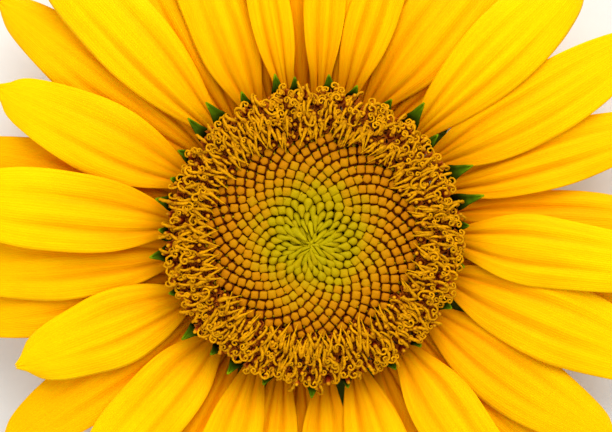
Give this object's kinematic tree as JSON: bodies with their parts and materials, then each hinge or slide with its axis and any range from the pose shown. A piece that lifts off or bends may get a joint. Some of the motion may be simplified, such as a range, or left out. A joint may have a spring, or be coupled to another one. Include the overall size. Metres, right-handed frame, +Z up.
{
  "type": "sunflower head",
  "caption": "Picked sunflower head in bloom lying face up on its cut stub: disc of florets ripening inward, ring of yellow rays, green bracts behind.",
  "frame": {"origin": "middle of the cut end of the stem stub, under the middle of the head, on the surface that the head lies on", "axes": "+Z up out of the flower's face, +X and +Y across the face, with +Y towards the top of the flower as it is pictured"},
  "size_m": [0.1598, 0.1578, 0.0312],
  "materials": {
    "stem_green": "matte, finely hairy plant skin",
    "unripe_green": "satin, waxy young florets",
    "bud_orange": "satin, closed florets",
    "open_gold": "satin, pollen-dusted open florets",
    "scale_green": "satin leaf",
    "ray_yellow": "soft satin petal",
    "bract_green": "matte, hairy leaf"
  },
  "bodies": {
    "root": {"receptacle": "stem_green", "unripe_florets": "unripe_green", "bud_florets": "bud_orange", "open_florets": "open_gold", "green_scales": "scale_green", "ray_floret_01": "ray_yellow", "ray_floret_02": "ray_yellow", "ray_floret_03": "ray_yellow", "ray_floret_04": "ray_yellow", "ray_floret_05": "ray_yellow", "ray_floret_06": "ray_yellow", "ray_floret_07": "ray_yellow", "ray_floret_08": "ray_yellow", "ray_floret_09": "ray_yellow", "ray_floret_10": "ray_yellow", "ray_floret_11": "ray_yellow", "ray_floret_12": "ray_yellow", "ray_floret_13": "ray_yellow", "ray_floret_14": "ray_yellow", "ray_floret_15": "ray_yellow", "ray_floret_16": "ray_yellow", "ray_floret_17": "ray_yellow", "ray_floret_18": "ray_yellow", "ray_floret_19": "ray_yellow", "ray_floret_20": "ray_yellow", "ray_floret_21": "ray_yellow", "ray_floret_22": "ray_yellow", "ray_floret_23": "ray_yellow", "ray_floret_24": "ray_yellow", "ray_floret_25": "ray_yellow", "ray_floret_26": "ray_yellow", "ray_floret_27": "ray_yellow", "ray_floret_28": "ray_yellow", "ray_floret_29": "ray_yellow", "ray_floret_30": "ray_yellow", "ray_floret_31": "ray_yellow", "ray_floret_32": "ray_yellow", "ray_floret_33": "ray_yellow", "ray_floret_34": "ray_yellow", "ray_floret_35": "ray_yellow", "ray_floret_36": "ray_yellow", "ray_floret_37": "ray_yellow", "ray_floret_38": "ray_yellow", "outer_bract_01": "bract_green", "outer_bract_02": "bract_green", "outer_bract_03": "bract_green", "outer_bract_04": "bract_green", "outer_bract_05": "bract_green", "outer_bract_06": "bract_green", "outer_bract_07": "bract_green", "outer_bract_08": "bract_green", "inner_bract_01": "bract_green", "inner_bract_02": "bract_green", "inner_bract_03": "bract_green", "inner_bract_04": "bract_green", "inner_bract_05": "bract_green", "inner_bract_06": "bract_green", "inner_bract_07": "bract_green", "inner_bract_08": "bract_green", "inner_bract_09": "bract_green"}
  },
  "joints": []
}
